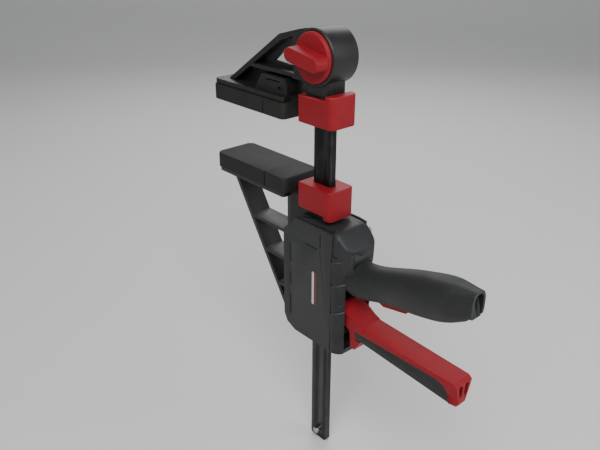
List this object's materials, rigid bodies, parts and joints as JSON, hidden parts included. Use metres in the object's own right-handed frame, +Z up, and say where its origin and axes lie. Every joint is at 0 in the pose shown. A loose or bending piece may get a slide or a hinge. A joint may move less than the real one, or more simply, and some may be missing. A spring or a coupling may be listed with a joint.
{
  "type": "bar clamp",
  "caption": "One-hand bar clamp: fixed jaw with soft pad and lock knob on a flat bar, and a sliding head with jaw, grip handle, squeeze trigger and release lever.",
  "frame": {"origin": "centre of the fixed jaw pad's clamping face", "axes": "+Z up along the bar towards the fixed jaw's lock drum, +X from the jaw tips towards the handle, -Y the side with the lock knob"},
  "size_m": [0.2754, 0.0466, 0.3827],
  "materials": {
    "bar_steel": "blackened, satin",
    "pin_steel": "satin",
    "plate_steel": "hardened, satin",
    "spring_steel": "satin",
    "jaw_plastic": "fine grain, satin",
    "pad_plastic": "matt",
    "housing_plastic": "fine grain, matt",
    "grip_rubber": "soft, matt",
    "guide_plastic": "smooth",
    "red_plastic": "satin gloss"
  },
  "bodies": {
    "bar_frame": {"bar": "bar_steel", "bar_stop_pin": "pin_steel", "fixed_jaw": "jaw_plastic", "fixed_jaw_pad": "pad_plastic", "upper_bar_guard": "red_plastic", "drum_back_cover": "housing_plastic"},
    "lock_knob": {"lock_knob": "red_plastic"},
    "lock_pin": {"lock_pin": "pin_steel"},
    "head": {"moving_jaw": "jaw_plastic", "moving_jaw_pad": "pad_plastic", "lower_bar_guard": "red_plastic", "housing_left": "housing_plastic", "housing_right": "housing_plastic", "side_panel_left": "housing_plastic", "side_panel_right": "housing_plastic", "rear_grip_left": "grip_rubber", "rear_grip_right": "grip_rubber", "handle_grip": "grip_rubber", "handle_end_cap": "housing_plastic", "bar_guide_top": "guide_plastic", "bar_guide_bottom": "guide_plastic", "trigger_pivot_pin": "pin_steel", "release_pivot_pin": "pin_steel", "brake_pivot_pin": "pin_steel", "housing_screws": "pin_steel", "jaw_screws": "pin_steel", "drive_spring": "spring_steel", "brake_spring": "spring_steel"},
    "trigger": {"trigger": "red_plastic", "trigger_insert_left": "grip_rubber", "trigger_insert_right": "grip_rubber", "trigger_nose": "pin_steel"},
    "drive_plate": {"drive_plate": "plate_steel"},
    "brake_plate": {"brake_plate": "plate_steel"},
    "release_lever": {"release_lever": "red_plastic"}
  },
  "joints": [
    {"name": "head_slide", "type": "slide", "parent": "bar_frame", "child": "head", "axis": [0, 0, 1], "range_m": [-0.1105, 0.048]},
    {"name": "knob_turn", "type": "hinge", "parent": "bar_frame", "child": "lock_knob", "pos_m": [0.0735, 0, 0.0514], "axis": [0, -1, 0], "range_deg": [0, 90]},
    {"name": "lock_pin_slide", "type": "slide", "parent": "bar_frame", "child": "lock_pin", "axis": [0, -1, 0], "range_m": [0, 0.0066]},
    {"name": "trigger_squeeze", "type": "hinge", "parent": "head", "child": "trigger", "pos_m": [0.1055, 0, -0.15], "axis": [0, -1, 0], "range_deg": [0, 20], "stiffness_Nm_per_rad": 0.8, "springref_deg": -11.46},
    {"name": "drive_plate_slide", "type": "slide", "parent": "head", "child": "drive_plate", "axis": [0, 0, 1], "range_m": [-0.0045, 0], "deforming": ["drive_spring"]},
    {"name": "release_squeeze", "type": "hinge", "parent": "head", "child": "release_lever", "pos_m": [0.13273, 0, -0.11404], "axis": [0, -1, 0], "range_deg": [0, 6], "stiffness_Nm_per_rad": 0.4, "springref_deg": -11.46},
    {"name": "brake_tilt", "type": "hinge", "parent": "head", "child": "brake_plate", "pos_m": [0.056, 0, -0.101], "axis": [0, 1, 0], "range_deg": [0, 5], "deforming": ["brake_spring"]}
  ],
  "couplings": [
    {"joint": "lock_pin_slide", "follows": "knob_turn", "m_per_rad": 0.00414},
    {"joint": "drive_plate_slide", "follows": "trigger_squeeze", "m_per_rad": -0.0124},
    {"joint": "brake_tilt", "follows": "release_squeeze", "ratio": 0.8}
  ]
}
